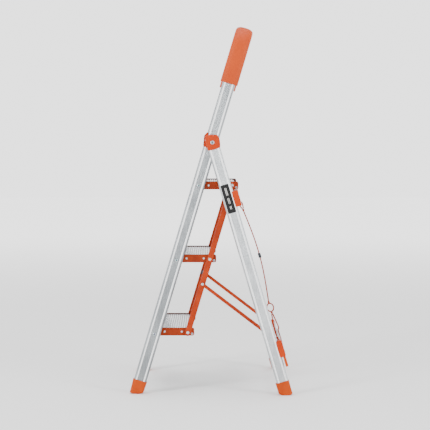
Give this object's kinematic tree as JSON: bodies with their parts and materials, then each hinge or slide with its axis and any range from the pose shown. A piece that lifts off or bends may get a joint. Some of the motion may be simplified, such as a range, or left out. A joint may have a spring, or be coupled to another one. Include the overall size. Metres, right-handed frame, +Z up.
{
  "type": "step stool",
  "caption": "Folding step stool: leaning aluminium front frame with a handrail, hinged rear legs, ribbed treads and a steel linkage that folds them flat.",
  "frame": {"origin": "on the floor, at the centre of the footprint between the four feet", "axes": "+Z up, -Y towards the person who climbs, +X to that person's right as they face +Y"},
  "size_m": [0.4768, 0.5052, 1.14],
  "materials": {
    "frame_aluminium": "satin anodised extrusion with fine lengthwise ribs",
    "tread_aluminium": "satin extrusion with raised anti-slip ribs",
    "orange_plastic": "moulded plastic, satin, slightly mottled",
    "orange_grip": "soft matt moulded grip",
    "orange_steel": "powder coat with a light orange-peel texture",
    "zinc_steel": "bright zinc plate",
    "elastic_cord": "braided sheath over elastic",
    "dark_plastic": "moulded plastic, satin"
  },
  "bodies": {
    "front_frame": {"front_foot_left": "orange_plastic", "front_foot_right": "orange_plastic", "front_frame_tube": "frame_aluminium", "handrail_grip": "orange_grip", "knuckle_bolt_left": "zinc_steel", "knuckle_bolt_right": "zinc_steel", "lower_tread_bolt_left": "zinc_steel", "lower_tread_bolt_right": "zinc_steel", "middle_tread_bolt_left": "zinc_steel", "middle_tread_bolt_right": "zinc_steel", "platform_bolt_left": "zinc_steel", "platform_bolt_right": "zinc_steel", "rail_clamp_left": "orange_plastic", "rail_clamp_right": "orange_plastic"},
    "rear_frame": {"brace_lug_left": "orange_steel", "brace_lug_right": "orange_steel", "cord_clip": "dark_plastic", "cord_ring": "elastic_cord", "leg_cap_left": "orange_plastic", "leg_cap_right": "orange_plastic", "lower_cord_knot": "elastic_cord", "lower_cord_loop": "elastic_cord", "lower_crossbar": "frame_aluminium", "lower_end_cap_left": "orange_plastic", "lower_end_cap_right": "orange_plastic", "middle_cord_knot": "elastic_cord", "rear_foot_left": "orange_plastic", "rear_foot_right": "orange_plastic", "rear_leg_left": "frame_aluminium", "rear_leg_right": "frame_aluminium", "tie_cord": "elastic_cord", "upper_cord_knot": "elastic_cord", "upper_cord_loop": "elastic_cord", "upper_crossbar": "frame_aluminium", "upper_end_cap_left": "orange_plastic", "upper_end_cap_right": "orange_plastic"},
    "lower_tread": {"lower_tread": "tread_aluminium", "lower_tread_bracket_left": "orange_steel", "lower_tread_bracket_right": "orange_steel"},
    "middle_tread": {"middle_tread": "tread_aluminium", "middle_tread_bracket_left": "orange_steel", "middle_tread_bracket_right": "orange_steel"},
    "platform": {"platform": "tread_aluminium", "platform_bracket_left": "orange_steel", "platform_bracket_right": "orange_steel"},
    "link_bars": {"link_bar_left": "orange_steel", "link_bar_right": "orange_steel", "lower_tread_link_rivet_left": "zinc_steel", "lower_tread_link_rivet_right": "zinc_steel", "middle_tread_link_rivet_left": "zinc_steel", "middle_tread_link_rivet_right": "zinc_steel", "platform_link_rivet_left": "zinc_steel", "platform_link_rivet_right": "zinc_steel"},
    "braces": {"brace_foot_rivet_left": "zinc_steel", "brace_foot_rivet_right": "zinc_steel", "brace_front_rivet_left": "zinc_steel", "brace_front_rivet_right": "zinc_steel", "brace_left": "orange_steel", "brace_right": "orange_steel"}
  },
  "joints": [
    {"name": "rear_fold", "type": "hinge", "parent": "front_frame", "child": "rear_frame", "pos_m": [0, 0.0044, 0.7793], "axis": [-1, 0, 0], "range_deg": [0, 31.3]},
    {"name": "lower_tread_fold", "type": "hinge", "parent": "front_frame", "child": "lower_tread", "pos_m": [0, -0.17514, 0.1865], "axis": [1, 0, 0], "range_deg": [0, 65.8]},
    {"name": "middle_tread_fold", "type": "hinge", "parent": "front_frame", "child": "middle_tread", "pos_m": [0, -0.10626, 0.4165], "axis": [1, 0, 0], "range_deg": [0, 65.8]},
    {"name": "platform_fold", "type": "hinge", "parent": "front_frame", "child": "platform", "pos_m": [0, -0.03737, 0.6465], "axis": [1, 0, 0], "range_deg": [0, 65.8]},
    {"name": "link_fold", "type": "hinge", "parent": "lower_tread", "child": "link_bars", "pos_m": [0, -0.07214, 0.1865], "axis": [-1, 0, 0], "range_deg": [0, 65.8]},
    {"name": "brace_fold", "type": "hinge", "parent": "rear_frame", "child": "braces", "pos_m": [0, 0.20351, 0.16367], "axis": [-1, 0, 0], "range_deg": [0, 33.1]}
  ],
  "couplings": [
    {"joint": "lower_tread_fold", "follows": "rear_fold", "ratio": 2.099},
    {"joint": "middle_tread_fold", "follows": "rear_fold", "ratio": 2.099},
    {"joint": "platform_fold", "follows": "rear_fold", "ratio": 2.099},
    {"joint": "link_fold", "follows": "rear_fold", "ratio": 2.099},
    {"joint": "brace_fold", "follows": "rear_fold", "ratio": 1.0525}
  ]
}
